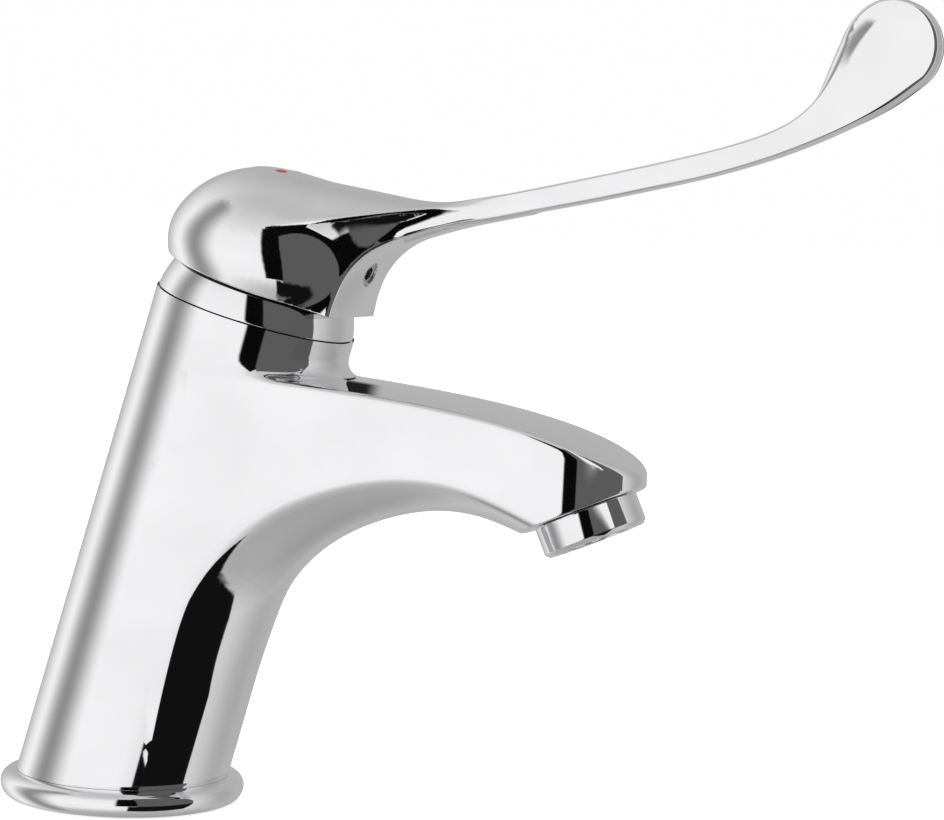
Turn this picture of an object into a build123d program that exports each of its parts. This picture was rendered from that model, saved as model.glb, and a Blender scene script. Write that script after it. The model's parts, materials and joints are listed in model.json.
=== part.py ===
from build123d import *
import math
import os

# A single lever basin mixer with a long elbow lever. The deck is at Z = 0, the spout points
# along +X and the whole tap is mirrored about the plane Y = 0. Lengths are in millimetres.

# Driving sizes
column_lean = 15.1            # degrees, from upright towards the spout
column_length = 111.6         # along the leaning axis, from base ring to collar
column_base_radius = 23.7
column_top_radius = 23.0
ring_height = 6.0             # base ring, deck to the body's lower edge
spout_reach = 109.7           # deck centre to the centre of the aerator, along X
spout_height = 75.4           # deck to the centre of the spout's mouth
mouth_tilt = 24.9             # degrees, the mouth looks down and forward
lever_reach = 171.3           # deck centre to the centre of the paddle, along X
lever_height = 176.0          # deck to the centre of the paddle
stem_lean = 8.0               # degrees the stem leans forward of the column, tap closed
wall = 3.0                    # least wall of the castings
running_fit = 0.05            # radial, between pieces that turn in each other
free_gap = 0.3                # between pieces that pass each other
overrun = 1.0                 # cutters stand past the faces that they open

# Column and foot
foot_bore_radius = 14.0
foot_bore_x = 3.0
foot_bore_depth = 36.0
spigot_radius = 20.6
spigot_height = 4.6
inlet_x = 8.0
inlet_spacing = 13.0
inlet_radius = 5.0            # M10 x 1
inlet_depth = 12.0
inlet_way_radius = 3.4
stud_x = -4.0
stud_radius = 4.0             # M8
stud_depth = 14.0

# Base ring and its seal
ring_overhang = 4.3           # bulge of the ring beyond the body's foot
ring_ledge = 1.5              # its upper edge beyond the foot
ring_undercut = 1.8           # its lower edge inside the bulge
ring_lift = 0.3               # the seal stands this far out under the ring
seal_margin = 1.3             # ring metal inside the seal
seal_width = 2.4
seal_height = 2.4

# Spout
nose_radius = 15.3
nose_setback = 1.0            # centre of the nose behind the centre of the mouth
spout_root_inset = 0.2        # root's plan circle inside the column there
spout_root_drop = 18.3        # below the collar seam, along the column, where the spout's root is centred
shoulder_drop = 10.4          # top of the spout's root below the collar seam
web_half_width = 20.0
web_crown = 12.5
web_depth = 60.0
top_edge_radius = 1.3
shoulder_radius = 1.8
waterway_radius = 5.5
outlet_drop_radius = 4.0

# Aerator
socket_radius = 11.4
socket_depth = 5.2
aerator_radius = 11.6
aerator_length = 7.0
aerator_bore = 9.6
aerator_sleeve_radius = 10.9
aerator_chamfer = 0.9
aerator_insert_length = 7.6
aerator_lip = 1.2
washer_thickness = 1.4
screen_thickness = 0.4
screen_count = 3
screen_step = 0.5
mesh_hole = 1.5
mesh_pitch = 2.4
mesh_count = 5
jet_radius = 0.7
jet_spacing = 2.4
jet_ring_count = 3

# Cartridge, its heights measured along the column from the collar seam
cartridge_radius = 17.4
cartridge_seat = 26.5
base_plate_thickness = 3.5
disc_thickness = 3.5
carrier_thickness = 5.0
fixed_disc_radius = 13.4
moving_disc_radius = 11.0
housing_wall = 1.8
housing_shoulder = 6.0
turret_radius = 11.8
turret_height = 6.0
housing_lid = 2.0
port_radius = 3.0
port_offset = 6.6
port_seal_radius = 4.2
port_seal_section = 1.0
disc_port_radius = 2.6
mixing_length = 11.0
mixing_width = 9.0
mixing_depth = 2.0
housing_seal_section = 0.9
bore_gap = 0.1                # cartridge in the body's bore

# Nut, collar and trim rings
nut_radius = 19.4
nut_bore_radius = 12.2
nut_rise = 4.0
nut_neck_radius = 17.4
nut_slot_count = 6
nut_slot_width = 3.0
nut_slot_depth = 2.0
collar_sphere_radius = 22.9
collar_bore_radius = 18.9
collar_top = 8.6
collar_seal_height = 2.0
limit_ring_width = 1.2
limit_ring_height = 1.6
limit_tab_width = 4.0
limit_tab_length = 2.0
glide_ring_thickness = 0.6
glide_ring_bore = 10.2

# Stem and what it moves
pivot_drop = 3.0              # stem pin below the collar seam
stem_width = 7.0
stem_rise = 27.0              # above the pin
stem_shank = 4.0              # square part below the pin
stem_arm = 9.0                # below the pin, to the ball in the disc carrier
stem_ball_radius = 2.6
stem_neck_radius = 2.0
carrier_radius = 12.0
carrier_floor = 0.8
pin_radius = 1.6
pin_half_length = 8.8
guide_radius = 9.6
guide_flange_radius = 14.6
guide_rise = 4.4
guide_slot_length = 11.8

# Handle
hood_clearance = 0.45         # hood over collar, both round the stem pin
hood_rim = 7.0                # rim above the collar seam
hood_radius = 23.5
hood_height = 33.0            # apex above the collar seam
boss_radius = 9.0
boss_drop = 12.0              # lower end of the boss above the pin
pocket_radius = 15.5
pocket_low = 15.0
pocket_high = 29.0
insert_width = 9.6
insert_length = 15.2
screw_rise = 22.7             # screw axis above the pin, along the stem
screw_radius = 2.8            # M6
screw_length = 17.2
screw_socket_radius = 1.7
screw_socket_depth = 3.0
arm_half_width = 3.4
ridge_sag_share = 0.08        # hollow of the hood's flanks, of their height
paddle_radius = 9.6
paddle_dome_radius = 10.6
paddle_dome_rise = 3.4
mark_radius = 1.3
mark_thickness = 0.8
mark_forward = 7.4            # ahead of the middle of the collar seam
mark_spacing = 9.0

# Lower outline of the spout, from inside the foot to the mouth, on the middle plane: X as a
# share of spout_reach and Z as a share of spout_height.
arch_shares = ((0.225, 0.02), (0.282, 0.443), (0.334, 0.636), (0.457, 0.837), (0.571, 0.918),
               (0.72, 0.962), (0.831, 0.934), (0.92, 0.87))

# Upper outline of the spout: X as a share of spout_reach, then the cover over the mouth as a
# share of nose_radius and the share of the rise from there to the shoulder.
top_shares = ((0.18, 1.0, 1.0), (0.456, 1.0, 0.72), (0.729, 1.0, 0.466), (0.884, 1.0, 0.253),
              (1.016, 0.889, 0.0), (1.14, 0.516, 0.0))

# Profile of the hood, as shares of hood_radius and hood_height, from the rim to the apex.
hood_shares = ((0.94, 0.212), (0.99, 0.276), (1.012, 0.424), (0.94, 0.576), (0.81, 0.73),
               (0.61, 0.851), (0.4, 0.93), (0.18, 0.98), (0.0, 0.99))

# Waterway of the spout, in the shares of its lower outline.
waterway_shares = ((0.328, 1.008), (0.547, 1.048), (0.92, 1.1))

# Front of the hood and root of the arm, one row for each section across X, measured from the
# middle of the collar seam: X as a share of hood_radius, then Z of crown, ridge and underside as
# shares of hood_height, then the half widths of ridge and underside as shares of hood_radius.
front_shares = ((0.381, 0.942, 0.585, 0.233, 0.79, 0.72),
                (0.724, 0.913, 0.612, 0.078, 0.787, 0.72),
                (0.935, 0.886, 0.638, 0.052, 0.723, 0.6),
                (1.081, 0.868, 0.66, 0.041, 0.664, 0.51),
                (1.19, 0.857, 0.67, 0.26, 0.613, 0.48),
                (1.292, 0.841, 0.681, 0.393, 0.562, 0.425),
                (1.489, 0.82, 0.702, 0.505, 0.468, 0.4),
                (1.744, 0.795, 0.74, 0.585, 0.349, 0.319),
                (2.0, 0.804, 0.772, 0.638, 0.255, 0.255),
                (2.335, 0.844, 0.828, 0.686, 0.191, 0.191))
arm_root_share = (2.809, 0.91, 0.761)   # X, then Z of upper and lower edge, in the same shares

# Upper and lower edge of the arm, as shares of its run and rise from the upper edge of its root
# to the paddle's centre, and where they meet the paddle's rim, in degrees round that centre.
arm_top_shares = ((0.263, 0.147), (0.49, 0.284), (0.663, 0.426), (0.766, 0.563))
arm_low_shares = ((0.236, -0.027), (0.461, 0.093), (0.685, 0.267), (0.91, 0.503))
paddle_top_angle = 195.0
paddle_low_angle = 312.0


def sine(angle):
    return math.sin(math.radians(angle))


def cosine(angle):
    return math.cos(math.radians(angle))


def leaning_plane(origin, lean):
    """Plane with Z leaning towards +X by the given degrees."""
    return Plane(origin=origin, x_dir=(cosine(lean), 0, -sine(lean)), z_dir=(sine(lean), 0, cosine(lean)))


def along_column(distance):
    """Point on the leaning axis, measured from the body's lower edge."""
    return (distance * sine(column_lean), 0, ring_height + distance * cosine(column_lean))


# Frames: collar seam, stem pin and the spout's mouth
seam_frame = leaning_plane(along_column(column_length), column_lean)
pin_frame = leaning_plane(along_column(column_length - pivot_drop), column_lean + stem_lean)
mouth_frame = leaning_plane((spout_reach, 0, spout_height), -mouth_tilt)
nose_x = spout_reach - nose_setback
column_taper = (column_base_radius - column_top_radius) / column_length
spout_root_x = along_column(column_length - spout_root_drop)[0]
spout_root_radius = column_top_radius + column_taper * spout_root_drop - spout_root_inset
shoulder_height = seam_frame.origin.Z - shoulder_drop


def drum(radius, low, high):
    """Upright cylinder between two heights of its own frame."""
    return Pos(0, 0, low) * Cylinder(radius, high - low, align=(Align.CENTER, Align.CENTER, Align.MIN))


def tube(outer, inner, low, high):
    return drum(outer, low, high) - drum(inner, low - overrun, high + overrun)


def block(length, width, low, high):
    return Pos(0, 0, low) * Box(length, width, high - low, align=(Align.CENTER, Align.CENTER, Align.MIN))


def rod(start, end, radius):
    """Round bar between two points."""
    path = Vector(*end) - Vector(*start)
    place = Plane(origin=start, z_dir=path)
    return place * Cylinder(radius, path.length, align=(Align.CENTER, Align.CENTER, Align.MIN))


def rubber_ring(radius, section, height):
    return Pos(0, 0, height) * Torus(radius, section)


def in_frame(frame, x, y, z):
    """Point given in a leaning frame, as one in the tap's own frame."""
    return frame.from_local_coords(Vector(x, y, z))


def in_side_view(shares, length, height):
    """Points on the middle plane from a table of shares."""
    return [Vector(x * length, 0, z * height) for x, z in shares]


# Body

def column():
    extra = column_base_radius * math.tan(math.radians(column_lean)) + overrun
    cone = Cone(column_base_radius + column_taper * extra, column_top_radius, column_length + extra,
                align=(Align.CENTER, Align.CENTER, Align.MIN))
    upright = leaning_plane(along_column(-extra), column_lean) * cone
    return split(upright, bisect_by=Plane.XY.offset(ring_height), keep=Keep.TOP)


def web():
    """U shaped section swept along the lower outline of the spout."""
    path = Spline(in_side_view(arch_shares, spout_reach, spout_height))
    start = Plane(origin=path @ 0, x_dir=(0, 1, 0), z_dir=path % 0)
    crown = Ellipse(web_half_width, web_crown) & Rectangle(
        2 * web_half_width, web_crown, align=(Align.CENTER, Align.MAX))
    flank = Rectangle(2 * web_half_width, web_depth - web_crown, align=(Align.CENTER, Align.MIN))
    section = Pos(0, web_crown) * (crown + flank)
    if start.y_dir.X > 0:
        section = Rot(0, 0, 180) * section
    return sweep(start * section, path=path)


def spout():
    root = Pos(spout_root_x, 0) * Circle(spout_root_radius)
    nose = Pos(nose_x, 0) * Circle(nose_radius)
    plan = make_hull(root.edges() + nose.edges())
    rise = shoulder_height - spout_height - nose_radius
    outline = [Vector(x * spout_reach, 0, spout_height + cover * nose_radius + climb * rise)
               for x, cover, climb in top_shares]
    low = [Vector(outline[-1].X, 0, 0), Vector(outline[0].X, 0, 0)]
    side = make_face([Spline(outline), Polyline(outline[-1], *low, outline[0])])
    tall = 2 * lever_height
    core = web() + Pos(nose_x, 0) * drum(nose_radius, spout_height - nose_radius, tall)
    solid = extrude(plan, tall) & extrude(side, web_half_width + overrun, both=True) & core
    return split(solid, bisect_by=mouth_frame, keep=Keep.TOP)


def rounded_casting():
    """Column and spout in one, with the shoulder between them and the spout's rim rounded."""
    free_x = spout_root_x + spout_root_radius
    crest = spout_height + nose_radius
    arm = spout()
    upper = [e for e in arm.edges() if e.center().X > free_x and e.center().Z > crest - 2 * wall
             and abs(e.center().Y) > nose_radius / 2 and e.length > nose_radius]
    casting = column() + fillet(upper, top_edge_radius)
    shoulder = [e for e in casting.edges() if e.center().Z > crest and e.center().X < free_x + wall
                and 0 < abs(e.center().Y) < 2 / 3 * spout_root_radius and e.length > nose_radius / 2
                and e.geom_type != GeomType.CIRCLE]
    return fillet(shoulder, shoulder_radius)


def waterways():
    """Cartridge bore, inlets, outlet, the hollow of the spout and the mouth's thread."""
    low = -cartridge_seat
    cuts = [seam_frame * drum(cartridge_radius + bore_gap, low, overrun),
            seam_frame * drum(nut_radius, -housing_shoulder, overrun),
            mouth_frame * drum(socket_radius, -overrun, socket_depth),
            Pos(foot_bore_x, 0) * drum(foot_bore_radius, 0, foot_bore_depth),
            Pos(stud_x, 0) * drum(stud_radius, 0, foot_bore_depth + stud_depth)]
    for x, y in port_places():
        cuts.append(seam_frame * Pos(x, y, 0) * drum(port_radius, low - wall, low + overrun))
    for x, y in port_places()[:2]:
        inlet = Vector(inlet_x, math.copysign(inlet_spacing / 2, y), foot_bore_depth)
        top = inlet + Vector(0, 0, inlet_depth)
        cuts.append(rod(inlet - Vector(0, 0, overrun), top, inlet_radius))
        cuts.append(rod(top - Vector(0, 0, overrun), in_frame(seam_frame, x, y, low), inlet_way_radius))
    way = in_side_view(waterway_shares, spout_reach, spout_height)
    cuts.append(rod(in_frame(seam_frame, port_offset, 0, low), way[0], outlet_drop_radius))
    cuts += [rod(a, b, waterway_radius) for a, b in zip(way, way[1:])]
    return cuts


def body():
    casting = rounded_casting()
    casting += drum(spigot_radius, ring_height - spigot_height, ring_height)
    for cutter in waterways():
        casting -= cutter
    return casting


def base_ring():
    low = ring_lift
    bore = spigot_radius + free_gap
    bulge = column_base_radius + ring_overhang
    top_edge = (column_base_radius + ring_ledge, 0, ring_height)
    low_edge = (bulge - ring_undercut, 0, low)
    outer = ThreePointArc(top_edge, (bulge, 0, ring_height / 2), low_edge)
    rest = Polyline(low_edge, (bore, 0, low), (bore, 0, ring_height), top_edge)
    ring = revolve(make_face([outer, rest]), axis=Axis.Z)
    return ring - base_seal_band(low - overrun)


def base_seal_band(low):
    inner = spigot_radius + free_gap + seal_margin
    return tube(inner + seal_width, inner, low, seal_height)


def base_seal():
    return base_seal_band(0)


# Aerator, in the frame of the mouth

def aerator_housing():
    inner = socket_depth - washer_thickness
    sleeve = tube(socket_radius, aerator_bore, 0, inner)
    skirt = drum(aerator_radius, -aerator_length, 0)
    skirt = chamfer(skirt.edges().sort_by(Axis.Z)[0], aerator_chamfer)
    skirt -= drum(aerator_bore, aerator_lip - aerator_length, overrun)
    skirt -= drum(aerator_bore - aerator_lip, -aerator_length - overrun, 0)
    return mouth_frame * (sleeve + skirt)


def aerator_insert():
    low = aerator_lip - aerator_length
    insert = drum(aerator_bore, low, low + aerator_insert_length)
    insert -= drum(aerator_bore - aerator_lip, low + aerator_lip, low + aerator_insert_length + overrun)
    for ring in range(1, jet_ring_count + 1):
        for place in PolarLocations(ring * jet_spacing, 6 * ring):
            insert -= place * drum(jet_radius, low - overrun, low + aerator_lip + overrun)
    return mouth_frame * insert


def aerator_screens():
    low = aerator_lip - aerator_length + aerator_insert_length
    screens = []
    for index in range(screen_count):
        screen = drum(aerator_bore - running_fit, 0, screen_thickness)
        screen -= [place * block(mesh_hole, mesh_hole, -overrun, overrun)
                   for place in GridLocations(mesh_pitch, mesh_pitch, mesh_count, mesh_count)]
        screens.append(mouth_frame * Pos(0, 0, low + index * screen_step) * screen)
    return Compound(screens)


def aerator_washer():
    return mouth_frame * tube(socket_radius, aerator_bore - aerator_lip,
                              socket_depth - washer_thickness, socket_depth)


# Cartridge, in the frame of the collar seam

def port_places():
    """The two inlets and, last, the outlet."""
    return [(-port_offset / 2, -port_offset), (-port_offset / 2, port_offset), (port_offset, 0)]


plate_top = base_plate_thickness - cartridge_seat
disc_face = plate_top + disc_thickness
carrier_low = disc_face + disc_thickness
carrier_top = carrier_low + carrier_thickness
lid_low = -housing_shoulder - housing_lid


def cartridge_base():
    plate = drum(cartridge_radius, -cartridge_seat, plate_top)
    middle = plate_top - base_plate_thickness / 2
    plate -= tube(cartridge_radius + overrun, cartridge_radius - 2 * housing_seal_section,
                  middle - housing_seal_section, middle + housing_seal_section)
    for x, y in port_places():
        plate -= Pos(x, y) * drum(port_radius, -cartridge_seat - overrun, plate_top + overrun)
        plate -= Pos(x, y) * tube(port_seal_radius + port_seal_section, port_seal_radius - port_seal_section,
                                  -cartridge_seat - overrun, 2 * port_seal_section - cartridge_seat)
    return seam_frame * plate


def port_seals():
    return Compound([seam_frame * Pos(x, y)
                     * rubber_ring(port_seal_radius, port_seal_section, port_seal_section - cartridge_seat)
                     for x, y in port_places()])


def housing_seal():
    return seam_frame * rubber_ring(cartridge_radius - housing_seal_section, housing_seal_section,
                                    plate_top - base_plate_thickness / 2)


def cartridge_housing():
    shell = drum(cartridge_radius, plate_top, -housing_shoulder)
    shell -= drum(cartridge_radius - housing_wall, plate_top - overrun, lid_low)
    shell += drum(turret_radius, -housing_shoulder, turret_height)
    shell -= drum(guide_radius + running_fit, lid_low - overrun, turret_height + overrun)
    return seam_frame * shell


def fixed_disc():
    disc = drum(fixed_disc_radius, plate_top, disc_face)
    for x, y in port_places():
        disc -= Pos(x, y) * drum(disc_port_radius, plate_top - overrun, disc_face + overrun)
    return seam_frame * disc


def moving_disc():
    disc = drum(moving_disc_radius, disc_face, carrier_low)
    disc -= Pos(port_offset / 2, 0) * block(mixing_length, mixing_width, disc_face - overrun,
                                            disc_face + mixing_depth)
    return seam_frame * Pos(carrier_start(), 0) * disc


def carrier_start():
    """Where the stem's ball stands off the cartridge axis with the tap closed."""
    return -stem_arm * sine(stem_lean)


def disc_carrier():
    carrier = drum(carrier_radius, carrier_low, carrier_top)
    carrier -= drum(stem_ball_radius + running_fit, carrier_low + carrier_floor, carrier_top + overrun)
    return seam_frame * Pos(carrier_start(), 0) * carrier


def rotor_guide():
    flange_top = lid_low - glide_ring_thickness
    guide = drum(guide_flange_radius, carrier_top + free_gap, flange_top)
    guide += drum(guide_radius, carrier_top + free_gap, guide_rise)
    guide -= block(guide_slot_length, stem_width + 2 * free_gap, carrier_top, guide_rise + overrun)
    guide -= pin_bar(guide_radius + overrun, pin_radius)
    return seam_frame * guide


def pin_bar(half_length, radius):
    """Bar across the cartridge at the height of the stem pin."""
    return Pos(0, 0, -pivot_drop) * Rot(90, 0, 0) * Cylinder(radius, 2 * half_length)


def stem_pin():
    return seam_frame * pin_bar(pin_half_length, pin_radius)


def glide_ring():
    return seam_frame * tube(guide_flange_radius, glide_ring_bore, lid_low - glide_ring_thickness, lid_low)


def limit_ring():
    outer = turret_radius + limit_ring_width
    low = nut_rise
    ring = tube(outer, turret_radius, low, low + limit_ring_height)
    tab = Pos(-outer, 0) * block(limit_tab_length, limit_tab_width, low, low + limit_ring_height)
    return seam_frame * (ring + (tab - drum(turret_radius, low - overrun, low + limit_ring_height + overrun)))


def cartridge_nut():
    nut = drum(nut_radius, -housing_shoulder, 0) + drum(nut_neck_radius, -housing_shoulder, nut_rise)
    nut -= drum(nut_bore_radius, -housing_shoulder - overrun, nut_rise + overrun)
    for place in PolarLocations(nut_neck_radius, nut_slot_count):
        nut -= place * block(nut_slot_width, nut_slot_width, nut_rise - nut_slot_depth, nut_rise + overrun)
    return seam_frame * nut


def collar():
    slab = drum(column_base_radius, 0, collar_top)
    zone = slab & Pos(0, 0, -pivot_drop) * Sphere(collar_sphere_radius)
    return seam_frame * (zone - drum(collar_bore_radius, -overrun, collar_top + overrun))


def collar_seal():
    section = (collar_bore_radius - nut_neck_radius) / 2
    return seam_frame * rubber_ring(nut_neck_radius + section, section, section)


# Stem and handle, in the frame of the stem pin

def stem():
    bar = block(stem_width, stem_width, -stem_shank, stem_rise)
    bar += drum(stem_neck_radius, -stem_arm, -stem_shank)
    bar += Pos(0, 0, -stem_arm) * Sphere(stem_ball_radius)
    bar -= Rot(90, 0, 0) * Cylinder(pin_radius + running_fit, stem_width + overrun)
    return pin_frame * bar


def handle_insert():
    top = boss_drop + insert_length
    sleeve = block(insert_width, insert_width, boss_drop, top)
    sleeve -= block(stem_width, stem_width, boss_drop - overrun, top + overrun)
    return pin_frame * (sleeve - screw_bar(0, insert_width, screw_radius))


def screw_bar(start, end, radius):
    """Bar along the handle screw, measured from the stem's axis."""
    return Pos(start, 0, screw_rise) * Rot(0, 90, 0) * Cylinder(
        radius, end - start, align=(Align.CENTER, Align.CENTER, Align.MIN))


def handle_screw():
    tip = stem_width / 2
    end = tip + screw_length
    screw = screw_bar(tip, end, screw_radius)
    socket = extrude(RegularPolygon(screw_socket_radius, 6), screw_socket_depth + overrun)
    return pin_frame * (screw - Pos(end - screw_socket_depth, 0, screw_rise) * Rot(0, 90, 0) * socket)


def hood():
    """Domed rear of the handle, turned about the column's axis."""
    outline = [Vector(r * hood_radius, 0, z * hood_height) for r, z in hood_shares]
    dome = Spline(outline)
    low = Vector(0, 0, outline[0].Z)
    rest = Polyline(outline[-1], low, outline[0])
    return seam_frame * revolve(make_face([dome, rest]), axis=Axis.Z)


def above_seam(x, *heights):
    """X and heights given in shares of the hood, as lengths in the tap's own frame."""
    middle = seam_frame.origin
    return [middle.X + x * hood_radius] + [middle.Z + height * hood_height for height in heights]


def bowed(start, end, bow):
    """Curve between two points, with its middle moved by the given vector."""
    return Bezier(start, (start + end) / 2 + 2 * bow, end)


def front_section(shares):
    """Section across the front of the hood: a crown, two hollow flanks and a flat underside."""
    x, crown, ridge, low, ridge_width, low_width = shares
    x, crown, ridge, low = above_seam(x, crown, ridge, low)
    ridge_width, low_width = ridge_width * hood_radius, low_width * hood_radius
    left_ridge, right_ridge = Vector(x, -ridge_width, ridge), Vector(x, ridge_width, ridge)
    left_low, right_low = Vector(x, -low_width, low), Vector(x, low_width, low)
    sag = Vector(0, (ridge - low) * ridge_sag_share, 0)
    return make_face([bowed(left_ridge, right_ridge, Vector(0, 0, crown - ridge)),
                      bowed(right_ridge, right_low, -sag), Line(right_low, left_low),
                      bowed(left_low, left_ridge, sag)])


def arm_edge(start, shares):
    """Points of one long edge of the arm, from its root."""
    x, top, low = above_seam(*arm_root_share)
    return [start] + [Vector(x + run * (lever_reach - x), 0, top + rise * (lever_height - top))
                      for run, rise in shares]


def arm_root():
    """Upper and lower point of the arm's root."""
    x, top, low = above_seam(*arm_root_share)
    return Vector(x, 0, top), Vector(x, 0, low)


def arm_root_section():
    """Flat section where the front of the hood has narrowed to the arm."""
    top, low = arm_root()
    side = Vector(0, arm_half_width, 0)
    corners = [top - side, top + side, low + side, low - side]
    return make_face([Line(a, b) for a, b in zip(corners, corners[1:] + corners[:1])])


def arm():
    """Flat bar that widens into the drop shaped paddle, with a dome on each side."""
    centre = Vector(lever_reach, 0, lever_height)

    def on_rim(angle):
        return centre + Vector(paddle_radius * cosine(angle), 0, paddle_radius * sine(angle))

    top_end, low_end = on_rim(paddle_top_angle), on_rim(paddle_low_angle)
    root_top, root_low = arm_root()
    top = Spline(arm_edge(root_top, arm_top_shares) + [top_end])
    low = Spline(arm_edge(root_low, arm_low_shares) + [low_end])
    rim = ThreePointArc(top_end, on_rim(90), low_end)
    side = make_face([top, rim, low, Line(root_low, root_top)])
    plate = extrude(side, arm_half_width, both=True)
    offset = paddle_dome_radius - paddle_dome_rise - arm_half_width
    dome = Pos(0, offset, 0) * Sphere(paddle_dome_radius) & Pos(0, -offset, 0) * Sphere(paddle_dome_radius)
    return plate + Pos(*centre) * dome


def handle_outside():
    front = loft([front_section(row) for row in front_shares] + [arm_root_section()], ruled=True)
    return hood() + split(front, bisect_by=rim_frame, keep=Keep.TOP) + arm()


rim_frame = leaning_plane(along_column(column_length + hood_rim), column_lean)


def handle(outside, marks):
    boss = drum(boss_radius, boss_drop, pocket_high + overrun)
    hollow = Sphere(collar_sphere_radius + hood_clearance) + drum(pocket_radius, pocket_low, pocket_high)
    casting = outside - pin_frame * (hollow - boss)
    casting -= pin_frame * block(insert_width, insert_width, boss_drop - overrun, boss_drop + insert_length)
    casting -= pin_frame * screw_bar(0, 2 * pocket_radius, screw_radius)
    for mark in marks:
        casting -= mark
    return casting


def mark(outside, side):
    """Plug of enamel, flush with the top of the hood."""
    x, crown = above_seam(0, front_shares[0][1])
    place = Pos(x + mark_forward, side * mark_spacing / 2)
    return outside & place * drum(mark_radius, crown - mark_thickness - mark_radius, crown + mark_radius)


def build():
    outside = handle_outside()
    hot_mark, cold_mark = mark(outside, -1), mark(outside, 1)
    parts = {
        "body": body(), "base_ring": base_ring(), "base_seal": base_seal(),
        "aerator_housing": aerator_housing(), "aerator_insert": aerator_insert(),
        "aerator_screens": aerator_screens(), "aerator_washer": aerator_washer(),
        "cartridge_base": cartridge_base(), "port_seals": port_seals(), "housing_seal": housing_seal(),
        "cartridge_housing": cartridge_housing(), "fixed_disc": fixed_disc(),
        "moving_disc": moving_disc(), "disc_carrier": disc_carrier(), "rotor_guide": rotor_guide(),
        "stem_pin": stem_pin(), "glide_ring": glide_ring(), "limit_ring": limit_ring(),
        "cartridge_nut": cartridge_nut(), "collar": collar(), "collar_seal": collar_seal(),
        "stem": stem(), "handle_insert": handle_insert(), "handle_screw": handle_screw(),
        "handle": handle(outside, (hot_mark, cold_mark)), "hot_mark": hot_mark, "cold_mark": cold_mark}
    os.makedirs("parts", exist_ok=True)
    for name, shape in parts.items():
        export_step(shape, os.path.join("parts", name + ".step"))


if __name__ == "__main__":
    build()
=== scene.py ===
import json
import math
import bmesh
import bpy
import numpy as np
from mathutils import Matrix, Vector


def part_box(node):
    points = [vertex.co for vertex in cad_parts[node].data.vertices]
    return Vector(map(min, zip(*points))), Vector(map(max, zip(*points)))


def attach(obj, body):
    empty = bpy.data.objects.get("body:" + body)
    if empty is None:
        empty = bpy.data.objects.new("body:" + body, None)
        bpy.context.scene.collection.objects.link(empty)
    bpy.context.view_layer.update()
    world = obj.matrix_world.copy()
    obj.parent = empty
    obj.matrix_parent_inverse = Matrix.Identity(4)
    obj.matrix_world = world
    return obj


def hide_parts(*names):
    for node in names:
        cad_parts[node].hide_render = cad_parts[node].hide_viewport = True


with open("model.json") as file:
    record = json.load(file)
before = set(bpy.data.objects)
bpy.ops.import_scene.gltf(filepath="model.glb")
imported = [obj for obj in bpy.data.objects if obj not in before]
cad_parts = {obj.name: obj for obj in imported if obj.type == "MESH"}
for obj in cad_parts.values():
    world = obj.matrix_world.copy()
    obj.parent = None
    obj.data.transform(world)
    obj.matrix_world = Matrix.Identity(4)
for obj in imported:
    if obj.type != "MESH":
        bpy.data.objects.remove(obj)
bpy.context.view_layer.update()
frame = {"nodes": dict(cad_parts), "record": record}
scene = bpy.context.scene
print("frame loaded")

mm = 0.001  # shapes below are worked out in millimetres, meshes are made in metres

# the leaning column: X and Z of its axis start on the deck's middle
column = {
    "lean": math.radians(15.1),
    "foot": 6.0,          # lower edge above the deck
    "length": 111.6,      # lower edge to the collar seam
    "footRadius": 23.7,
    "seamRadius": 23.0,
}
leanSin, leanCos = math.sin(column["lean"]), math.cos(column["lean"])
seam = Vector((column["length"] * leanSin, 0, column["foot"] + column["length"] * leanCos))
seamUp = Vector((leanSin, 0, leanCos))


# curves and solid fields: a field is negative inside the metal

def bSpline(points, perLeg=8):
    # smooth curve that starts and ends on the first and last point
    pts = np.array([points[0]] * 2 + list(points) + [points[-1]] * 2, float)
    t = np.linspace(0, 1, perLeg, endpoint=False)[:, None]
    legs = []
    for i in range(len(pts) - 3):
        a, b, c, d = pts[i:i + 4]
        legs.append(((1 - t) ** 3 * a + (3 * t ** 3 - 6 * t ** 2 + 4) * b
                     + (-3 * t ** 3 + 3 * t ** 2 + 3 * t + 1) * c + t ** 3 * d) / 6)
    return np.vstack(legs + [pts[-1:]])


def arcPoints(centre, radius, start, end, count=48):
    angles = np.radians(np.linspace(start, end, count))
    return np.stack([centre[0] + radius * np.cos(angles), centre[1] + radius * np.sin(angles)], 1)


def extended(line, reach=200.0):
    # carries a curve straight on past both ends
    first = line[0] + (line[0] - line[1]) / np.linalg.norm(line[0] - line[1]) * reach
    last = line[-1] + (line[-1] - line[-2]) / np.linalg.norm(line[-1] - line[-2]) * reach
    return np.vstack([first, line, last])


def sideOfCurve(line, a, b):
    # signed distance to a curve in a plane, positive on its left
    a, b = np.broadcast_arrays(np.asarray(a, float), np.asarray(b, float))
    flatA, flatB = a.ravel(), b.ravel()
    best = np.full(flatA.shape, 1e9)
    side = np.ones(flatA.shape)
    for start, end in zip(line[:-1], line[1:]):
        leg = end - start
        size = leg @ leg
        if size < 1e-12:
            continue
        da, db = flatA - start[0], flatB - start[1]
        t = np.clip((da * leg[0] + db * leg[1]) / size, 0, 1)
        ea, eb = da - t * leg[0], db - t * leg[1]
        d = ea * ea + eb * eb
        near = d < best - 1e-12
        best = np.where(near, d, best)
        side = np.where(near, np.where(leg[0] * db - leg[1] * da >= 0, 1.0, -1.0), side)
    return (np.sqrt(best) * side).reshape(a.shape)


def along(line, a):
    # height of a curve over its first coordinate
    return np.interp(a, line[:, 0], line[:, 1])


def ease(low, high, a):
    # 0 below low, 1 above high and a smooth climb between
    t = np.clip((a - low) / (high - low), 0, 1)
    return t * t * (3 - 2 * t)


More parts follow.
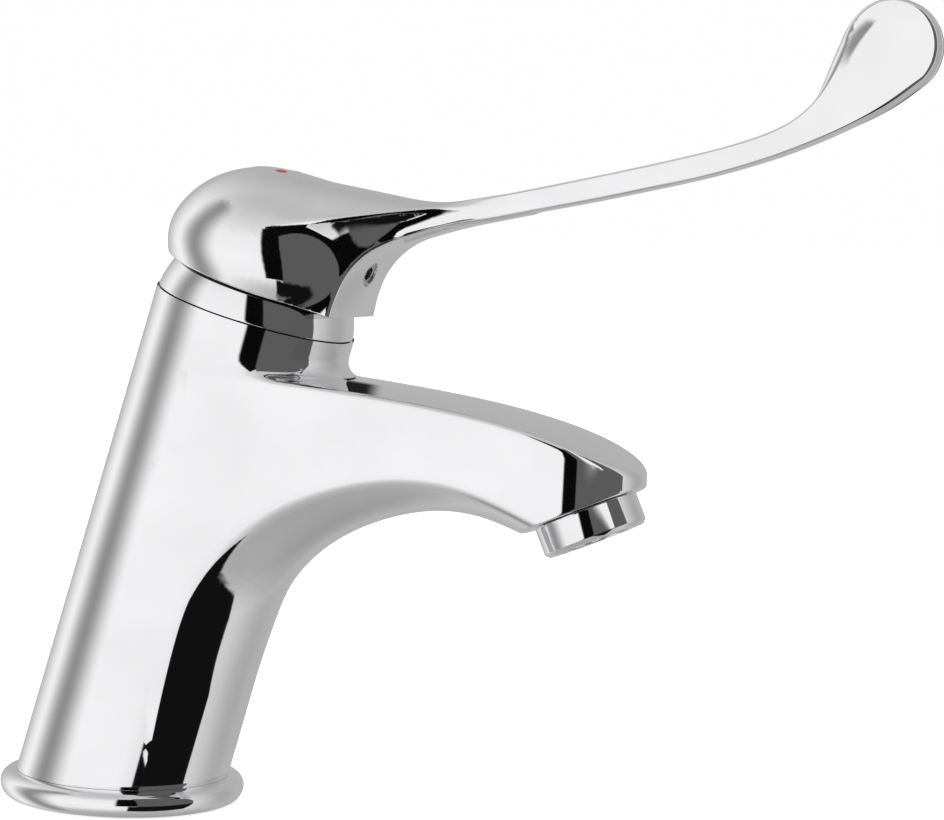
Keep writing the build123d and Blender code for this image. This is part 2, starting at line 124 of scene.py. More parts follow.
def roundedMeet(a, b, radius):
    # both solids at once, with the edge between them rounded
    u, v = np.maximum(radius + a, 0), np.maximum(radius + b, 0)
    return np.minimum(-radius, np.maximum(a, b)) + np.sqrt(u * u + v * v)


def filletedJoin(a, b, radius):
    # either solid, with a fillet between them
    u, v = np.maximum(radius - a, 0), np.maximum(radius - b, 0)
    return np.maximum(radius, np.minimum(a, b)) - np.sqrt(u * u + v * v)


def softJoin(a, b, reach):
    # either solid, melted together where they come near each other
    h = np.maximum(reach - np.abs(a - b), 0) / reach
    return np.minimum(a, b) - h * h * reach / 4


# skins: a field made a mesh, with its points on the skin and more of them where it turns fast

skin = {
    "slides": 4, "leastSlope": 0.05, "longestSlide": 0.6,   # the last as a share of a cell
    "turn": math.radians(11), "shortest": 0.18, "halvings": 3,
    "quickCells": 1.5,
    "squareOn": 0.995,        # a cut face points this nearly along its direction
}


def slopeOf(field, p, step=0.03):
    # how fast the field climbs along X, Y and Z
    slope = np.empty_like(p)
    for axis in range(3):
        ahead, behind = p.copy(), p.copy()
        ahead[:, axis] += step
        behind[:, axis] -= step
        slope[:, axis] = (field(*ahead.T) - field(*behind.T)) / (2 * step)
    return slope


def unitSlope(field, points):
    slope = slopeOf(field, points)
    return slope / np.maximum(np.linalg.norm(slope, axis=1), 1e-9)[:, None]


def cellPoints(f, low, cell):
    # one point in each cell that the skin crosses, and the number of that point at its cell's place
    inside = f < 0
    corners = [(i, j, k) for i in (0, 1) for j in (0, 1) for k in (0, 1)]
    nx, ny, nz = [n - 1 for n in f.shape]
    total = sum(inside[i:i + nx, j:j + ny, k:k + nz].astype(np.int8) for i, j, k in corners)
    cells = np.argwhere((total > 0) & (total < 8))
    index = np.full((nx, ny, nz), -1)
    index[tuple(cells.T)] = np.arange(len(cells))
    place, hits = np.zeros((len(cells), 3)), np.zeros(len(cells))
    for start in corners:
        for axis in range(3):
            if start[axis]:
                continue
            end = list(start)
            end[axis] = 1
            a = f[tuple((cells + start).T)]
            b = f[tuple((cells + end).T)]
            cross = (a < 0) != (b < 0)
            t = np.where(cross, a / np.where(cross, a - b, 1), 0)
            spot = cells + np.array(start, float)
            spot[:, axis] += t
            place += spot * cross[:, None]
            hits += cross
    return place / hits[:, None] * cell + np.array(low, float), index


def cellFaces(f, index):
    # one four sided face round each edge of the grid that the skin crosses
    inside = f < 0
    quads = []
    for axis in range(3):
        one, two = (axis + 1) % 3, (axis + 2) % 3
        head, tail = [slice(None)] * 3, [slice(None)] * 3
        head[axis], tail[axis] = slice(0, -1), slice(1, None)
        edges = np.argwhere(inside[tuple(head)] != inside[tuple(tail)])
        edges = edges[(edges[:, one] > 0) & (edges[:, two] > 0)
                      & (edges[:, one] < inside.shape[one] - 1) & (edges[:, two] < inside.shape[two] - 1)]
        ring = []
        for da, db in ((1, 1), (0, 1), (0, 0), (1, 0)):
            cellAt = edges.copy()
            cellAt[:, one] -= da
            cellAt[:, two] -= db
            ring.append(index[tuple(cellAt.T)])
        ring = np.stack(ring, 1)
        quads.append(np.where(inside[tuple(edges.T)][:, None], ring, ring[:, ::-1]))
    return np.vstack(quads)


def settled(field, points, cell):
    # slides points onto the skin
    for _ in range(skin["slides"]):
        slope = slopeOf(field, points)
        size = np.maximum((slope ** 2).sum(1), skin["leastSlope"])
        move = (field(*points.T) / size)[:, None] * slope
        length = np.maximum(np.linalg.norm(move, axis=1), 1e-9)
        points = points - move * np.minimum(1, skin["longestSlide"] * cell / length)[:, None]
    return points


def splitByTurn(points, quads, normals):
    # each four sided face is cut along the diagonal over which the skin turns least
    a, b, c, d = quads.T
    flat = (normals[a] * normals[c]).sum(1) >= (normals[b] * normals[d]).sum(1)
    one = np.where(flat[:, None], np.stack([a, b, c], 1), np.stack([a, b, d], 1))
    two = np.where(flat[:, None], np.stack([a, c, d], 1), np.stack([b, c, d], 1))
    return np.vstack([one, two])


def halved(faces, middle):
    # cuts each face by the middles of those of its edges that have one; the others hold -1
    out = [faces[(middle < 0).all(1)]]
    for shift in range(3):
        p, q, r = [faces[:, (shift + k) % 3] for k in range(3)]
        m, n, o = [middle[:, (shift + k) % 3] for k in range(3)]
        single = (m >= 0) & (n < 0) & (o < 0)
        double = (m >= 0) & (n >= 0) & (o < 0)
        for rule, corners in ((single, (p, m, r)), (single, (m, q, r)),
                              (double, (m, q, n)), (double, (p, m, n)), (double, (p, n, r))):
            out.append(np.stack([c[rule] for c in corners], 1))
    full = (middle >= 0).all(1)
    p, q, r = faces[full].T
    m, n, o = middle[full].T
    out += [np.stack(corners, 1) for corners in ((p, m, o), (m, q, n), (o, n, r), (m, n, o))]
    return np.vstack(out)


def refined(field, points, faces, cell):
    # halves the edges over which the skin turns by more than the angle
    for _ in range(skin["halvings"]):
        normals = unitSlope(field, points)
        sides = np.sort(np.vstack([faces[:, [0, 1]], faces[:, [1, 2]], faces[:, [2, 0]]]), axis=1)
        edges, back = np.unique(sides, axis=0, return_inverse=True)
        length = np.linalg.norm(points[edges[:, 0]] - points[edges[:, 1]], axis=1)
        bend = (normals[edges[:, 0]] * normals[edges[:, 1]]).sum(1)
        chosen = (bend < math.cos(skin["turn"])) & (length > skin["shortest"])
        middle = np.full(len(edges), -1)
        middle[chosen] = len(points) + np.arange(chosen.sum())
        fresh = (points[edges[chosen, 0]] + points[edges[chosen, 1]]) / 2
        points = np.vstack([points, settled(field, fresh, cell)])
        faces = halved(faces, middle[back.reshape(-1)].reshape(3, -1).T)
    return points, faces


def meshFrom(name, points, faces):
    mesh = bpy.data.meshes.new(name)
    mesh.from_pydata((np.asarray(points) * mm).tolist(), [], np.asarray(faces).tolist())
    mesh.validate()
    obj = bpy.data.objects.new(name, mesh)
    scene.collection.objects.link(obj)
    return obj


def castMesh(name, field, room, cell):
    # the whole skin that a field has inside its room
    low, high = room
    xs, ys, zs = [np.arange(a, b + cell, cell) for a, b in zip(low, high)]
    f = field(xs[:, None, None], ys[None, :, None], zs[None, None, :])
    points, index = cellPoints(f, low, cell)
    points = settled(field, points, cell)
    faces = splitByTurn(points, cellFaces(f, index), unitSlope(field, points))
    return meshFrom(name, *refined(field, points, faces, cell))


def cutFlat(obj, point, normal):
    # keeps what lies behind the plane and closes the cut
    bm = bmesh.new()
    bm.from_mesh(obj.data)
    geometry = bm.verts[:] + bm.edges[:] + bm.faces[:]
    cut = bmesh.ops.bisect_plane(bm, geom=geometry, dist=1e-7, plane_co=point * mm, plane_no=normal,
                                 clear_outer=True)
    edges = [e for e in cut["geom_cut"] if isinstance(e, bmesh.types.BMEdge)]
    bmesh.ops.holes_fill(bm, edges=edges, sides=0)
    bm.to_mesh(obj.data)
    bm.free()


def smoothByField(obj, field, flats):
    # exact normals on the skin, flat ones on the cut faces
    mesh = obj.data
    mesh.polygons.foreach_set("use_smooth", [True] * len(mesh.polygons))
    p = np.empty(len(mesh.vertices) * 3)
    mesh.vertices.foreach_get("co", p)
    loopVerts = np.empty(len(mesh.loops), int)
    mesh.loops.foreach_get("vertex_index", loopVerts)
    normals = unitSlope(field, p.reshape(-1, 3) / mm)[loopVerts]
    for poly in mesh.polygons:
        for flat in flats:
            if poly.normal.dot(flat) > skin["squareOn"] and len(poly.vertices) > 4:
                normals[poly.loop_start:poly.loop_start + poly.loop_total] = flat
    mesh.normals_split_custom_set(normals.tolist())


def lathe(name, profile, origin, axis, sides=160, crease=math.radians(32)):
    # closed profile of (radius, height) points turned about an axis
    turn = Vector(axis).normalized().to_track_quat("Z", "Y").to_matrix()
    rings = len(profile)
    points, faces = [], []
    for i in range(sides):
        angle = 2 * math.pi * i / sides
        for radius, height in profile:
            spot = Vector((radius * math.cos(angle), radius * math.sin(angle), height))
            points.append(turn @ spot + Vector(origin))
        for j in range(rings):
            a, b = i * rings + j, i * rings + (j + 1) % rings
            c, d = (i + 1) % sides * rings + j, (i + 1) % sides * rings + (j + 1) % rings
            faces.append((a, c, d, b))
    obj = meshFrom(name, points, faces)
    bm = bmesh.new()
    bm.from_mesh(obj.data)
    bmesh.ops.remove_doubles(bm, verts=bm.verts, dist=1e-7)
    bmesh.ops.recalc_face_normals(bm, faces=bm.faces)
    bm.to_mesh(obj.data)
    bm.free()
    obj.data.polygons.foreach_set("use_smooth", [True] * len(obj.data.polygons))
    obj.data.set_sharp_from_angle(angle=crease)
    return obj


def softened(profile, radius, steps=4, slight=0.3, most=0.45):
    # closed profile with each corner of more than a slight turn rounded off, by most of a side at the most
    out = []
    count = len(profile)
    for i in range(count):
        before, here, after = [Vector(profile[k % count]) for k in (i - 1, i, i + 1)]
        one, two = (before - here), (after - here)
        turn = math.pi - one.angle(two, math.pi)
        if turn < slight:
            out.append(tuple(here))
            continue
        reach = min(radius * math.tan(turn / 2), most * one.length, most * two.length)
        a, b = here + one.normalized() * reach, here + two.normalized() * reach
        for k in range(steps + 1):
            t = k / steps
            out.append(tuple((1 - t) ** 2 * a + 2 * t * (1 - t) * here + t * t * b))
    return out


# body: the leaning column with the spout grown out of it

spout = {
    "rootX": 24.3, "rootRadius": 22.3, "noseX": 107.2, "noseRadius": 15.3,
    "crown": 1.2,             # the top falls this much from the middle to its edges
    "topEdge": 1.3,
    "keelDrop": 5.5, "keelWidth": 16.0, "keelEdge": 2.2,
    "shoulder": 4.2,          # fillet where the top meets the column
    "shoulderUp": (90, 98), "shoulderOut": (28, 40),    # the heights and the reach over which it comes in
    "startX": 25.0, "startSlope": 0.5,                  # the arm sinks into the column behind this
    "startBack": 60, "startUp": (50, 88),               # which lies further back lower down
    "sink": 1.5, "sinkUp": (22, 46),                    # and it sinks this much more at the foot
    "blend": 1.6, "blendFoot": 0.5, "blendUp": (8, 45),
    "mouth": (109.7, 75.4), "mouthTilt": math.radians(24.9), "mouthEdge": 0.4,
    "mouthFrom": 88.0, "mouthSlope": 4,                 # the mouth's plane cuts only past this X
    "room": ((-27, -27, 3), (128, 27, 122)), "cell": 1.15,
}
topLine = extended(bSpline([
    (10, 103.4), (30, 101.9), (50, 100.3), (60, 99.4), (70, 98.4), (80, 97.2), (90, 95.6), (100, 93.5),
    (108, 91.1), (115, 88.3), (120, 85.9), (126, 82.9)]))
keelLine = extended(bSpline([
    (23.4, 3), (26.2, 14), (29.2, 25), (32.2, 36), (35.3, 46), (40.2, 54.6), (47.4, 61.6), (56, 66.9),
    (66, 70.8), (76, 72.9), (86, 72.6), (94, 70.2), (100, 68)]))


def columnField(x, y, z):
    # slightly tapered, round its leaning axis
    up = x * leanSin + (z - column["foot"]) * leanCos
    out = np.sqrt((x * leanCos - (z - column["foot"]) * leanSin) ** 2 + y * y)
    return out - column["footRadius"] - (column["seamRadius"] - column["footRadius"]) * up / column["length"]


def planField(x, y):
    # distance to the hull of the root circle and the nose circle, seen from above
    reach = spout["noseX"] - spout["rootX"]
    slant = (spout["rootRadius"] - spout["noseRadius"]) / reach
    flat = math.sqrt(1 - slant * slant)
    a, b = np.abs(y), x - spout["rootX"]
    k = -slant * a + flat * b
    root = np.sqrt(a * a + b * b) - spout["rootRadius"]
    nose = np.sqrt(a * a + (b - reach) ** 2) - spout["noseRadius"]
    flank = flat * a + slant * b - spout["rootRadius"]
    return np.where(k < 0, root, np.where(k > flat * reach, nose, flank))


def spoutField(x, y, z):
    # the arm between its top line and its keel line, ended by the mouth's plane
    s = spout
    top = sideOfCurve(topLine, x, z) + s["crown"] * (y / s["rootRadius"]) ** 2
    keel = -sideOfCurve(keelLine, x, z) + s["keelDrop"] * (y / s["keelWidth"]) ** 2
    tilt = s["mouthTilt"]
    mouth = (x - s["mouth"][0]) * math.sin(tilt) - (z - s["mouth"][1]) * math.cos(tilt)
    mouth = mouth - s["mouthSlope"] * np.maximum(s["mouthFrom"] - x, 0)
    arm = roundedMeet(planField(x, y), top, s["topEdge"])
    arm = roundedMeet(arm, keel, s["keelEdge"])
    arm = roundedMeet(arm, mouth, s["mouthEdge"])
    start = s["startX"] - s["startBack"] * (1 - ease(*s["startUp"], z))
    return arm + s["startSlope"] * np.maximum(start - x, 0) + s["sink"] * (1 - ease(*s["sinkUp"], z))


def bodyField(x, y, z):
    # the arm melted into the column, and filleted to it where its top meets the shoulder
    s = spout
    arm, post = spoutField(x, y, z), columnField(x, y, z)
    upper = ease(*s["shoulderUp"], z) * ease(*s["shoulderOut"], x)
    blend = softJoin(arm, post, s["blendFoot"] + s["blend"] * ease(*s["blendUp"], z))
    return blend + (filletedJoin(arm, post, s["shoulder"]) - blend) * upper


bodyShell = castMesh("cast_body", bodyField, spout["room"], spout["cell"])
cutFlat(bodyShell, seam, seamUp)
cutFlat(bodyShell, Vector((0, 0, column["foot"])), Vector((0, 0, -1)))
smoothByField(bodyShell, bodyField, (seamUp, Vector((0, 0, -1))))
print("body done,", len(bodyShell.data.polygons), "faces")


# handle: domed hood, pointed front, flat arm and the paddle with its bulb

handle = {
    "rim": 7.0, "rimTilt": 0.0386,           # above the seam, lower towards the front
    "rimEdge": 0.35, "rimFlare": 0.3, "flareHeight": 1.8,
    "cavity": 23.35, "pivotDrop": 3.0, "stemLean": math.radians(23.1),
    "boss": 9.0, "bossLow": 12.0,
    "screwRise": 22.7, "screwHole": 2.8, "screwEdge": 0.35, "screwFrom": 3.0,
    "ridgeEdge": 1.0, "lowEdge": 0.9, "crownSpread": 1.6,
    "flankLow": 116.0, "flankLeast": 0.5, "flankOut": (54, 68), "flankSag": 1.6, "sagOut": (60, 82),
    "topSlope": 0.94, "flankSlope": 0.95,    # bring the leaning faces' fields near to true distances
    "frontFrom": 30, "frontTo": 94, "frontBlend": 2.4,
    "armHalf": 3.4, "armEdge": 0.75, "armFrom": 66, "armBlend": 1.6,
    "paddle": (171.3, 176.0), "paddleRadius": 9.5, "paddleArc": (178, -42),
    "bulbRadius": 10.7, "bulbOffset": 3.75, "bulbFrom": 2.6, "bulbFillet": 2.0,
    "bulbTail": (-0.69, -0.724), "bulbStretch": 1.9,
    "wallGap": 0.05, "rimGap": 0.1, "hoodTo": 50,       # what counts as inside, for the painted shade in the hood's hollow and under the rim
    "room": ((4, -27, 110), (185, 27, 190)), "cell": 0.9,
}
hoodLine = bSpline([
    (20.8, 3.0), (22.2, 7.0), (23.75, 10.6), (24.1, 15), (22.6, 19.8), (19.4, 24.8), (14.6, 28.8),
    (9.0, 31.4), (4.5, 32.5), (-4.5, 32.7), (-9, 32.0)])
crownLine = bSpline([
    (20, 146), (30, 144.6), (38, 144.6), (46, 143.6), (54, 142.4), (62, 141.2), (69, 140.1), (76, 140.2),
    (84, 141.2), (92, 142.4), (100, 143.4), (110, 144.4)])
ridgeLine = bSpline([
    (20, 132), (30, 132.4), (38, 133), (46, 133.9), (55, 135.5), (64, 137.2), (72, 138.4), (78, 139.4),
    (84, 140.6), (92, 141.8), (110, 143.6)])
ridgeHalf = bSpline([
    (20, 20), (34, 19.8), (40, 19.4), (46, 18.5), (55, 15.6), (64, 11.1), (72, 7.4), (78, 5.4), (86, 3.4),
    (94, 1.7), (110, 1.0)])
lowHalf = bSpline([
    (20, 17), (36, 17), (44, 15.5), (52, 12.6), (57.5, 11.2), (64, 9.6), (70, 7.6), (78, 5.4), (86, 3.4),
    (94, 1.7), (110, 1.0)])
cheekLine = extended(bSpline([
    (48, 90), (50.7, 104), (52.8, 114.5), (54.2, 120.5), (57.4, 125.8), (62.4, 130), (70, 133.2),
    (78, 135.3), (88, 137.4), (100, 140), (112, 142.7)]))
armTop = bSpline([
    (60, 134.5), (70, 137.4), (79, 140.4), (88.2, 142.4), (97.2, 144.4), (106.2, 146.5), (115.1, 148.6),
    (124, 150.8), (133, 153.1), (141, 155.5), (148.4, 158.3), (153.6, 161.7), (157.7, 166.6),
    (160.6, 171.6), (161.8, 176.2)])
armLow = bSpline([
    (60, 129), (71, 132.8), (80.3, 135.9), (90, 137.9), (100, 140), (110, 142.2), (120, 144.6), (130, 147),
    (139, 149.6), (148, 152.6), (156, 155.9), (164, 159.7), (171, 163.9), (176.2, 168), (178.3, 169.6)])
paddleTip = arcPoints(handle["paddle"], handle["paddleRadius"], *handle["paddleArc"])
armOutline = np.vstack([armTop, paddleTip, armLow[::-1]])
pin = seam - seamUp * handle["pivotDrop"]
stemUp = Vector((math.sin(handle["stemLean"]), 0, math.cos(handle["stemLean"])))


def hoodField(x, y, z):
    # the dome turned about the column's axis, and the place along and across that axis
    up = (x - seam.x) * leanSin + (z - seam.z) * leanCos
    front = (x - seam.x) * leanCos - (z - seam.z) * leanSin
    dome = -sideOfCurve(hoodLine, np.sqrt(front * front + y * y), up)
    return dome, up, front


def frontField(x, y, z):
    # crowned top, leaning flanks that draw in to the arm, and the cheek line below
    s = handle
    crown, ridge = along(crownLine, x), along(ridgeLine, x)
    wide, narrow = along(ridgeHalf, x), along(lowHalf, x)
    low = s["flankLow"] + (along(armLow, x) - s["flankLow"]) * ease(*s["flankOut"], x)
    top = (z - crown + (crown - ridge) * np.minimum((y / wide) ** 2, s["crownSpread"])) * s["topSlope"]
    t = np.clip((z - low) / np.maximum(ridge - low, s["flankLeast"]), 0, 1)
    sag = s["flankSag"] * (1 - ease(*s["sagOut"], x))
    flank = (np.abs(y) - narrow - (wide - narrow) * t + sag * 4 * t * (1 - t)) * s["flankSlope"]
    cheek = -sideOfCurve(cheekLine, x, z)
    solid = roundedMeet(top, flank, s["ridgeEdge"])
    solid = roundedMeet(solid, cheek, s["lowEdge"])
    return np.maximum(np.maximum(solid, s["frontFrom"] - x), x - s["frontTo"])


def armField(x, y, z):
    # flat plate with a shallow bulb on each face of the paddle
    s = handle
    outline = np.maximum(sideOfCurve(armOutline, x, z), s["armFrom"] - x)
    plate = roundedMeet(outline, np.abs(y) - s["armHalf"], s["armEdge"])
    dx, dz = x - s["paddle"][0], z - s["paddle"][1]
    tail = dx * s["bulbTail"][0] + dz * s["bulbTail"][1]
    across = -dx * s["bulbTail"][1] + dz * s["bulbTail"][0]
    tail = np.where(tail > 0, tail / s["bulbStretch"], tail)
    bulb = np.sqrt(tail ** 2 + across ** 2 + (np.abs(y) + s["bulbOffset"]) ** 2) - s["bulbRadius"]
    bulb = np.maximum(bulb, s["bulbFrom"] - np.abs(y))
    return filletedJoin(plate, bulb, s["bulbFillet"])


def handleField(x, y, z):
    # all of it, hollowed by a ball but for the stem's boss, with the screw's hole in front
    s = handle
    dome, up, front = hoodField(x, y, z)
    metal = softJoin(dome, frontField(x, y, z), s["frontBlend"])
    rim = s["rim"] - s["rimTilt"] * front - up
    metal = roundedMeet(metal, rim, s["rimEdge"])
    metal = softJoin(metal, armField(x, y, z), s["armBlend"])
    px, pz = x - pin.x, z - pin.z
    rise = px * stemUp.x + pz * stemUp.z
    ahead = px * stemUp.z - pz * stemUp.x
    flare = s["rimFlare"] * (1 - ease(0, s["flareHeight"], -rim))
    ball = np.sqrt(px * px + y * y + pz * pz) - s["cavity"] - flare
    boss = np.maximum(np.sqrt(ahead * ahead + y * y) - s["boss"], s["bossLow"] - rise)
    metal = np.maximum(metal, -np.maximum(ball, -boss))
    hole = np.sqrt((rise - s["screwRise"]) ** 2 + y * y) - s["screwHole"]
    return roundedMeet(metal, -np.maximum(hole, s["screwFrom"] - ahead), s["screwEdge"])


def markPaintedShade(shell):
    # an attribute that is 1 inside the hood and on the rim's underside, where shade is painted, and 0 on the
    # chrome outside
    s = handle
    mark = shell.data.attributes.new("painted_shade", "FLOAT", "POINT")
    for number, vertex in enumerate(shell.data.vertices):
        spot = vertex.co / mm
        fromPin, fromSeam = spot - pin, spot - seam
        front = fromSeam.x * leanCos - fromSeam.z * leanSin
        overRim = fromSeam.dot(seamUp) + s["rimTilt"] * front - s["rim"]
        inside = fromPin.length < s["cavity"] + s["rimFlare"] + s["wallGap"]
        # the hood's hollow and the rim's underside get painted shade
        inShade = spot.x < s["hoodTo"] and (inside or overRim < s["rimGap"])
        mark.data[number].value = 1.0 if inShade else 0.0


handleShell = castMesh("lever_handle", handleField, handle["room"], handle["cell"])
smoothByField(handleShell, handleField, ())
markPaintedShade(handleShell)
print("handle done,", len(handleShell.data.polygons), "faces")


# turned pieces: base ring, collar and aerator

ringSet = {"bore": 20.9, "low": 0.3, "boreTop": 5.8, "edge": 0.15, "perLeg": 6}
ringCurve = bSpline([
    (25.2, 6.0), (26.3, 5.8), (27.7, 4.8), (28.15, 3.2), (27.6, 1.5), (26.9, 0.6),
    (26.2, 0.3)], ringSet["perLeg"])
ringProfile = [tuple(p) for p in ringCurve]
ringProfile += [(ringSet["bore"], ringSet["low"]), (ringSet["bore"], ringSet["boreTop"])]
baseRing = lathe("foot_ring", softened(ringProfile, ringSet["edge"]), (0, 0, 0), (0, 0, 1))

collarSet = {"sphere": 22.9, "drop": 3.0, "top": 8.6, "bore": 18.9, "gap": 0.16, "edge": 0.3, "steps": 12}


def collarProfile():
    # a zone of a sphere outside, with a straight bore
    s = collarSet
    heights = [s["gap"] + (s["top"] - s["gap"]) * k / s["steps"] for k in range(s["steps"] + 1)]
    zone = [(math.sqrt(s["sphere"] ** 2 - (height + s["drop"]) ** 2), height) for height in heights]
    return zone + [(s["bore"], s["top"]), (s["bore"], s["gap"])]


collar = lathe("trim_collar", softened(collarProfile(), collarSet["edge"]), seam, seamUp)

aeratorSet = {"radius": 11.6, "length": 7.0, "chamfer": 0.9, "bore": 9.0, "lip": 8.6, "funnel": 1.2,
              "groove": 0.15, "edge": 0.25}
mouthUp = Vector((-math.sin(spout["mouthTilt"]), 0, math.cos(spout["mouthTilt"])))
mouthPoint = Vector((spout["mouth"][0], 0, spout["mouth"][1]))


def aeratorProfile():
    s = aeratorSet
    return [(s["radius"], -s["groove"]), (s["radius"], s["chamfer"] - s["length"]),
            (s["radius"] - s["chamfer"], -s["length"]), (s["lip"], -s["length"]),
            (s["bore"], s["funnel"] - s["length"]), (s["bore"], -s["groove"])]


aerator = lathe("aerator_sleeve", softened(aeratorProfile(), aeratorSet["edge"]), mouthPoint, mouthUp)
print("turned pieces done")


# node helpers, for shaders and for shapes

def feed(tree, socket, value):
    # another socket is linked, and a plain value is set
    if isinstance(value, bpy.types.NodeSocket):
        tree.links.new(value, socket)
    else:
        socket.default_value = value


def added(tree, kind, values):
    # a node whose inputs are fed by their labels
    node = tree.nodes.new(kind)
    for label, value in values.items():
        feed(tree, node.inputs[label], value)
    return node


def worked(tree, operation, *values):
    # the result of a Math node
    node = tree.nodes.new("ShaderNodeMath")
    node.operation = operation
    for socket, value in zip(node.inputs, values):
        feed(tree, socket, value)
    return node.outputs[0]


def ranged(tree, value, ends, smooth=False):
    # a value carried from one range to another
    node = tree.nodes.new("ShaderNodeMapRange")
    node.interpolation_type = "SMOOTHSTEP" if smooth else "LINEAR"
    for label, end in zip(("Value", "From Min", "From Max", "To Min", "To Max"), (value, *ends)):
        feed(tree, node.inputs[label], end)
    return node.outputs["Result"]


def mixed(tree, kind, factor, a, b):
    node = tree.nodes.new("ShaderNodeMix")
    node.data_type = kind     # set before its sockets are looked up by label
    for label, value in (("Factor", factor), ("A", a), ("B", b)):
        feed(tree, node.inputs[label], value)
    return node.outputs["Result"]


def onAxis(tree, axis, value):
    # a vector that lies along one axis
    return added(tree, "ShaderNodeCombineXYZ", {axis: value}).outputs[0]


def partsOf(tree, vector):
    return added(tree, "ShaderNodeSeparateXYZ", {"Vector": vector}).outputs


def newGroup(name, treeKind, ins, outs):
    tree = bpy.data.node_groups.new(name, treeKind)
    for label, kind, value in ins:
        socket = tree.interface.new_socket(label, in_out="INPUT", socket_type="NodeSocket" + kind)
        if value is not None:
            socket.default_value = value
    for label, kind in outs:
        tree.interface.new_socket(label, in_out="OUTPUT", socket_type="NodeSocket" + kind)
    return tree, tree.nodes.new("NodeGroupInput").outputs, tree.nodes.new("NodeGroupOutput").inputs


# screens in the aerator's mouth, woven of fine wire

screenSet = {"radius": 9.45, "wire": 0.1, "wires": 21, "pitch": 0.88, "screens": 3, "step": 0.5, "sides": 6}


def laidWires(tree, given):
    # a row of wires that lie along Y, each as long as the disc is wide at its X
    last = worked(tree, "SUBTRACT", given["Wires"], 1)
    start = worked(tree, "MULTIPLY", worked(tree, "MULTIPLY", last, given["Pitch"]), -0.5)
    row = added(tree, "GeometryNodeMeshLine", {
        "Count": given["Wires"], "Offset": onAxis(tree, "X", given["Pitch"]),
        "Start Location": onAxis(tree, "X", start)})
    wire = added(tree, "GeometryNodeMeshCylinder", {
        "Depth": 1.0, "Vertices": given["Sides"], "Radius": given["Wire Radius"]})
    x = partsOf(tree, tree.nodes.new("GeometryNodeInputPosition").outputs[0])["X"]
    square = worked(tree, "MULTIPLY", given["Radius"], given["Radius"])
    left = worked(tree, "SUBTRACT", square, worked(tree, "MULTIPLY", x, x))
    chord = worked(tree, "MULTIPLY", worked(tree, "SQRT", left), 2.0)
    size = added(tree, "ShaderNodeCombineXYZ", {"X": 1.0, "Y": 1.0, "Z": chord})
    return added(tree, "GeometryNodeInstanceOnPoints", {
        "Points": row.outputs["Mesh"], "Instance": wire.outputs["Mesh"],
        "Rotation": (math.pi / 2, 0, 0), "Scale": size.outputs[0]}).outputs["Instances"]


def wovenTree():
    # two rows of wires crossed to a screen, and the screens stacked
    tree, given, made = newGroup("woven screens", "GeometryNodeTree", (
        ("Radius", "Float", None), ("Wire Radius", "Float", None), ("Wires", "Int", None),
        ("Pitch", "Float", None), ("Screens", "Int", None), ("Step", "Float", None),
        ("Sides", "Int", None), ("Material", "Material", None)), (("Geometry", "Geometry"),))
    laid = laidWires(tree, given)
    crossed = added(tree, "GeometryNodeTransform", {
        "Geometry": laid, "Rotation": (0, 0, math.pi / 2),
        "Translation": onAxis(tree, "Z", worked(tree, "MULTIPLY", given["Wire Radius"], 2.0))})
    screen = tree.nodes.new("GeometryNodeJoinGeometry")
    for rows in (laid, crossed.outputs["Geometry"]):
        tree.links.new(rows, screen.inputs[0])
    oneScreen = added(tree, "GeometryNodeGeometryToInstance", {"Geometry": screen.outputs[0]})
    levels = added(tree, "GeometryNodeMeshLine", {
        "Count": given["Screens"], "Offset": onAxis(tree, "Z", given["Step"])})
    stack = added(tree, "GeometryNodeInstanceOnPoints", {
        "Points": levels.outputs["Mesh"], "Instance": oneScreen.outputs[0]})
    real = added(tree, "GeometryNodeRealizeInstances", {"Geometry": stack.outputs["Instances"]})
    coat = added(tree, "GeometryNodeSetMaterial", {
        "Geometry": real.outputs[0], "Material": given["Material"]})
    tree.links.new(coat.outputs[0], made[0])
    return tree


def wovenScreens():
    s = screenSet
    carrier = bpy.data.objects.new("screen_carrier", bpy.data.meshes.new("screen_carrier"))
    scene.collection.objects.link(carrier)
    weave = carrier.modifiers.new("weave", "NODES")
    weave.node_group = wovenTree()
    values = {"Radius": s["radius"] * mm, "Wire Radius": s["wire"] * mm, "Wires": s["wires"],
              "Pitch": s["pitch"] * mm, "Screens": s["screens"], "Step": s["step"] * mm, "Sides": s["sides"]}
    for item in weave.node_group.interface.items_tree:
        if item.name in values:
            weave[item.identifier] = values[item.name]
    bpy.context.view_layer.update()
    mesh = bpy.data.meshes.new_from_object(carrier.evaluated_get(bpy.context.evaluated_depsgraph_get()))
    bpy.data.objects.remove(carrier)
    low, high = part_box("aerator_screens")
    foot = (low + high) / 2 - mouthUp * ((s["screens"] - 1) * s["step"] / 2 + s["wire"]) * mm
    turn = Vector((0, 0, 1)).rotation_difference(mouthUp).to_matrix().to_4x4()
    mesh.transform(Matrix.Translation(foot) @ turn)
    stacked = bpy.data.objects.new("woven_screens", mesh)
    scene.collection.objects.link(stacked)
    return stacked


screens = wovenScreens()
print("screens done,", len(screens.data.polygons), "faces")


# marks for hot and cold, set into the hood's crown

markSet = {
    "x": 36.0, "spacing": 9.0, "radius": 1.3, "rise": 0.12, "depth": 0.6,
    "shoulder": (0.7, 0.8),      # shares of the radius and of the rise where its face falls away
    "above": 144.0, "slides": 12, "sides": 40,
}


def enamelMark(name, side):
    s = markSet
    y, z = side * s["spacing"] / 2, s["above"]
    for _ in range(s["slides"]):
        z -= float(handleField(*[np.array([v]) for v in (s["x"], y, z)])[0])
    spot = np.array([[s["x"], y, z]])
    up = Vector(slopeOf(handleField, spot)[0]).normalized()
    out, rise = s["shoulder"]
    profile = [(0, s["rise"]), (s["radius"] * out, s["rise"] * rise), (s["radius"], 0.0),
               (s["radius"], -s["depth"]), (0, -s["depth"])]
    return lathe(name, profile, spot[0], up, s["sides"])


